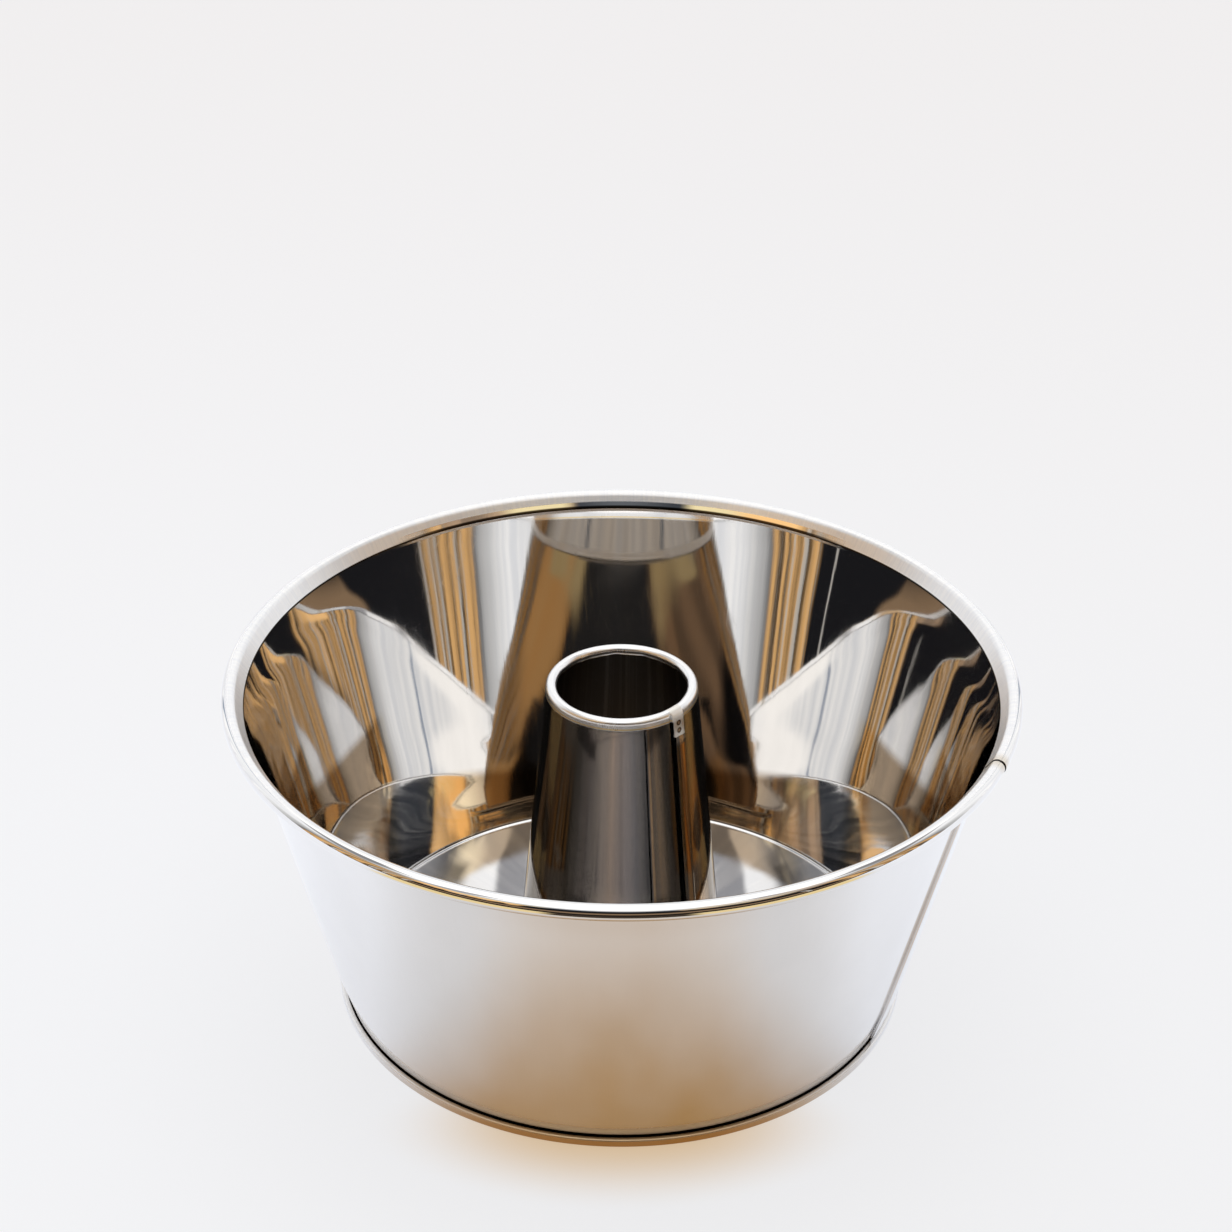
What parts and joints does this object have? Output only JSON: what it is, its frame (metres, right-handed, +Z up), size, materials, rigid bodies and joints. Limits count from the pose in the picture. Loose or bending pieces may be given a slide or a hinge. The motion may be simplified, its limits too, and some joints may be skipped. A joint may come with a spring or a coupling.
{
  "type": "angel food cake pan",
  "caption": "Round flared tube cake pan of polished sheet steel with a wired rim, a seamed foot and a lift-out bottom that carries a tapered centre tube.",
  "frame": {"origin": "middle of the flat face that the pan rests on, at the height of that face", "axes": "+Z up along the axis of the pan and its tube; -Y towards the side that the picture was taken from; the wall's lock seam lies between +X and -Y"},
  "size_m": [0.25, 0.25, 0.113],
  "materials": {
    "wall_steel": "mirror-polished stainless sheet with fine upright drawing lines",
    "wire_steel": "plain drawn wire, hidden in the rim",
    "ring_steel": "polished stainless sheet, folded",
    "plate_steel": "polished stainless sheet with light scratches",
    "tube_steel": "polished stainless sheet with upright drawing lines"
  },
  "bodies": {
    "pan": {"wall": "wall_steel", "rim_wire": "wire_steel", "ledge_ring": "ring_steel"},
    "insert": {"bottom_plate": "plate_steel", "centre_tube": "tube_steel"}
  },
  "joints": [
    {"name": "insert_lift", "type": "slide", "parent": "pan", "child": "insert", "axis": [0, 0, 1], "range_m": [0, 0.13]}
  ]
}
